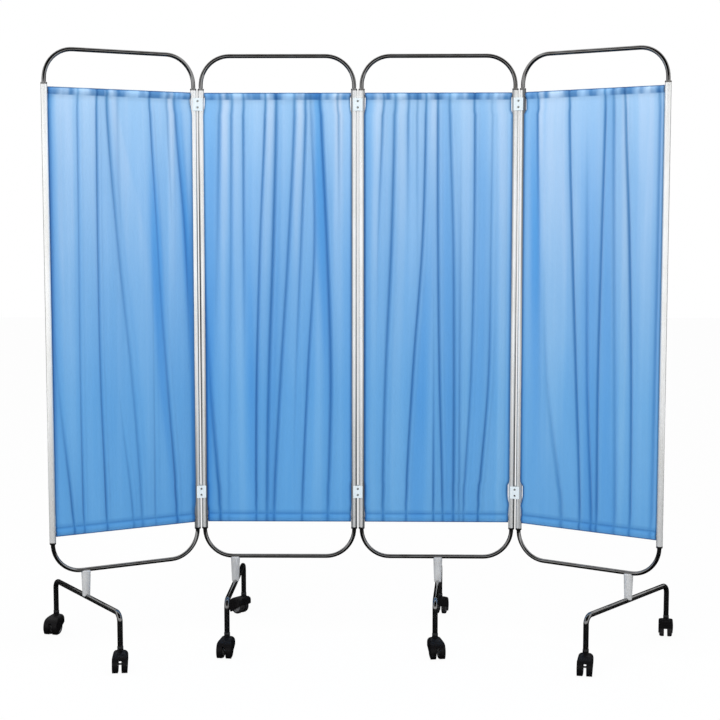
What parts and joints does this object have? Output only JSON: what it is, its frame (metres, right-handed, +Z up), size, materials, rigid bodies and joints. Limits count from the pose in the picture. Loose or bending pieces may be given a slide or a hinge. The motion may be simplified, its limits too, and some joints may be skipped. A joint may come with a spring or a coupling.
{
  "type": "folding ward screen",
  "caption": "Folding hospital privacy screen: steel tube panels with gathered blue curtains on cross feet with swivel casters.",
  "frame": {"origin": "on the floor, at the middle of the space that the open screen takes up", "axes": "+X from the left panel to the right one, seen from the front; +Y to the back; +Z up. The second panel lies along X."},
  "size_m": [1.9762, 0.7448, 1.8],
  "materials": {
    "post_steel": "polished stainless steel, faint lengthwise drawing lines",
    "rail_chrome": "bright chrome plate",
    "rod_steel": "plain drawn steel",
    "curtain_cloth": "plain woven cotton blend, matt, slightly see-through against the light",
    "foot_chrome": "bright chrome plate, a little worn near the floor",
    "column_steel": "satin stainless steel",
    "clip_plastic": "moulded translucent white plastic",
    "caster_plastic": "moulded black plastic with a soft shine",
    "wheel_rubber": "black tread, scuffed grey"
  },
  "bodies": {
    "panel_1": {"panel_1_left_post": "post_steel", "panel_1_right_post": "post_steel", "panel_1_top_bow": "rail_chrome", "panel_1_bottom_bow": "rail_chrome", "panel_1_top_rod": "rod_steel", "panel_1_bottom_rod": "rod_steel", "panel_1_curtain": "curtain_cloth", "panel_1_foot_bar": "foot_chrome", "panel_1_foot_column": "column_steel"},
    "panel_2": {"panel_2_left_post": "post_steel", "panel_2_right_post": "post_steel", "panel_2_top_bow": "rail_chrome", "panel_2_bottom_bow": "rail_chrome", "panel_2_top_rod": "rod_steel", "panel_2_bottom_rod": "rod_steel", "panel_2_curtain": "curtain_cloth", "panel_2_foot_bar": "foot_chrome", "panel_2_foot_column": "column_steel"},
    "panel_3": {"panel_3_left_post": "post_steel", "panel_3_right_post": "post_steel", "panel_3_top_bow": "rail_chrome", "panel_3_bottom_bow": "rail_chrome", "panel_3_top_rod": "rod_steel", "panel_3_bottom_rod": "rod_steel", "panel_3_curtain": "curtain_cloth", "panel_3_foot_bar": "foot_chrome", "panel_3_foot_column": "column_steel"},
    "panel_4": {"panel_4_left_post": "post_steel", "panel_4_right_post": "post_steel", "panel_4_top_bow": "rail_chrome", "panel_4_bottom_bow": "rail_chrome", "panel_4_top_rod": "rod_steel", "panel_4_bottom_rod": "rod_steel", "panel_4_curtain": "curtain_cloth", "panel_4_foot_bar": "foot_chrome", "panel_4_foot_column": "column_steel"},
    "hinge_12": {"hinge_12_upper_clip": "clip_plastic", "hinge_12_lower_clip": "clip_plastic"},
    "hinge_23": {"hinge_23_upper_clip": "clip_plastic", "hinge_23_lower_clip": "clip_plastic"},
    "hinge_34": {"hinge_34_upper_clip": "clip_plastic", "hinge_34_lower_clip": "clip_plastic"},
    "caster_1_front": {"caster_1_front_housing": "caster_plastic"},
    "caster_1_front_wheels": {"caster_1_front_wheels": "wheel_rubber"},
    "caster_1_back": {"caster_1_back_housing": "caster_plastic"},
    "caster_1_back_wheels": {"caster_1_back_wheels": "wheel_rubber"},
    "caster_2_front": {"caster_2_front_housing": "caster_plastic"},
    "caster_2_front_wheels": {"caster_2_front_wheels": "wheel_rubber"},
    "caster_2_back": {"caster_2_back_housing": "caster_plastic"},
    "caster_2_back_wheels": {"caster_2_back_wheels": "wheel_rubber"},
    "caster_3_front": {"caster_3_front_housing": "caster_plastic"},
    "caster_3_front_wheels": {"caster_3_front_wheels": "wheel_rubber"},
    "caster_3_back": {"caster_3_back_housing": "caster_plastic"},
    "caster_3_back_wheels": {"caster_3_back_wheels": "wheel_rubber"},
    "caster_4_front": {"caster_4_front_housing": "caster_plastic"},
    "caster_4_front_wheels": {"caster_4_front_wheels": "wheel_rubber"},
    "caster_4_back": {"caster_4_back_housing": "caster_plastic"},
    "caster_4_back_wheels": {"caster_4_back_wheels": "wheel_rubber"}
  },
  "joints": [
    {"name": "hinge_12_clip_turn", "type": "hinge", "parent": "panel_2", "child": "hinge_12", "pos_m": [-0.48133, 0.08358, 1], "axis": [0, 0, 1], "range_deg": [-60.1, 29.9]},
    {"name": "hinge_12_fold", "type": "hinge", "parent": "hinge_12", "child": "panel_1", "pos_m": [-0.50354, 0.07759, 1], "axis": [0, 0, 1], "range_deg": [-60.1, 29.9]},
    {"name": "hinge_23_clip_turn", "type": "hinge", "parent": "panel_2", "child": "hinge_23", "pos_m": [-0.01433, 0.08358, 1], "axis": [0, 0, -1], "range_deg": [-22.85, 22.15]},
    {"name": "hinge_23_fold", "type": "hinge", "parent": "hinge_23", "child": "panel_3", "pos_m": [0.00867, 0.08344, 1], "axis": [0, 0, -1], "range_deg": [-22.85, 22.15]},
    {"name": "hinge_34_clip_turn", "type": "hinge", "parent": "panel_3", "child": "hinge_34", "pos_m": [0.47563, 0.07773, 1], "axis": [0, 0, -1], "range_deg": [-106.35, 73.65]},
    {"name": "hinge_34_fold", "type": "hinge", "parent": "hinge_34", "child": "panel_4", "pos_m": [0.49762, 0.07099, 1], "axis": [0, 0, -1], "range_deg": [-106.35, 73.65]},
    {"name": "caster_1_front_swivel", "type": "hinge", "parent": "panel_1", "child": "caster_1_front", "pos_m": [-0.68507, -0.30508, 0.08], "axis": [0, 0, 1], "continuous": true},
    {"name": "caster_1_front_roll", "type": "hinge", "parent": "caster_1_front", "child": "caster_1_front_wheels", "pos_m": [-0.68309, -0.32398, 0.025], "axis": [0.9945, 0.1045, 0], "continuous": true},
    {"name": "caster_1_back_swivel", "type": "hinge", "parent": "panel_1", "child": "caster_1_back", "pos_m": [-0.95487, 0.09192, 0.08], "axis": [0, 0, 1], "continuous": true},
    {"name": "caster_1_back_roll", "type": "hinge", "parent": "caster_1_back", "child": "caster_1_back_wheels", "pos_m": [-0.95947, 0.07348, 0.025], "axis": [0.9703, -0.2419, 0], "continuous": true},
    {"name": "caster_2_front_swivel", "type": "hinge", "parent": "panel_2", "child": "caster_2_front", "pos_m": [-0.39077, -0.15639, 0.08], "axis": [0, 0, 1], "continuous": true},
    {"name": "caster_2_front_roll", "type": "hinge", "parent": "caster_2_front", "child": "caster_2_front_wheels", "pos_m": [-0.39341, -0.17521, 0.025], "axis": [0.9903, -0.1392, 0], "continuous": true},
    {"name": "caster_2_back_swivel", "type": "hinge", "parent": "panel_2", "child": "caster_2_back", "pos_m": [-0.38323, 0.32355, 0.08], "axis": [0, 0, 1], "continuous": true},
    {"name": "caster_2_back_roll", "type": "hinge", "parent": "caster_2_back", "child": "caster_2_back_wheels", "pos_m": [-0.39778, 0.33576, 0.025], "axis": [-0.6428, -0.766, 0], "continuous": true},
    {"name": "caster_3_front_swivel", "type": "hinge", "parent": "panel_3", "child": "caster_3_front", "pos_m": [0.23013, -0.15886, 0.08], "axis": [0, 0, 1], "continuous": true},
    {"name": "caster_3_front_roll", "type": "hinge", "parent": "caster_3_front", "child": "caster_3_front_wheels", "pos_m": [0.23343, -0.17758, 0.025], "axis": [0.9848, 0.1736, 0], "continuous": true},
    {"name": "caster_3_back_swivel", "type": "hinge", "parent": "panel_3", "child": "caster_3_back", "pos_m": [0.26445, 0.31991, 0.08], "axis": [0, 0, 1], "continuous": true},
    {"name": "caster_3_back_roll", "type": "hinge", "parent": "caster_3_back", "child": "caster_3_back_wheels", "pos_m": [0.2684, 0.33849, 0.025], "axis": [-0.9781, 0.2079, 0], "continuous": true},
    {"name": "caster_4_front_swivel", "type": "hinge", "parent": "panel_4", "child": "caster_4_front", "pos_m": [0.65647, -0.31991, 0.08], "axis": [0, 0, 1], "continuous": true},
    {"name": "caster_4_front_roll", "type": "hinge", "parent": "caster_4_front", "child": "caster_4_front_wheels", "pos_m": [0.65252, -0.33849, 0.025], "axis": [0.9781, -0.2079, 0], "continuous": true},
    {"name": "caster_4_back_swivel", "type": "hinge", "parent": "panel_4", "child": "caster_4_back", "pos_m": [0.95789, 0.05365, 0.08], "axis": [0, 0, 1], "continuous": true},
    {"name": "caster_4_back_roll", "type": "hinge", "parent": "caster_4_back", "child": "caster_4_back_wheels", "pos_m": [0.96119, 0.07236, 0.025], "axis": [-0.9848, 0.1736, 0], "continuous": true}
  ]
}
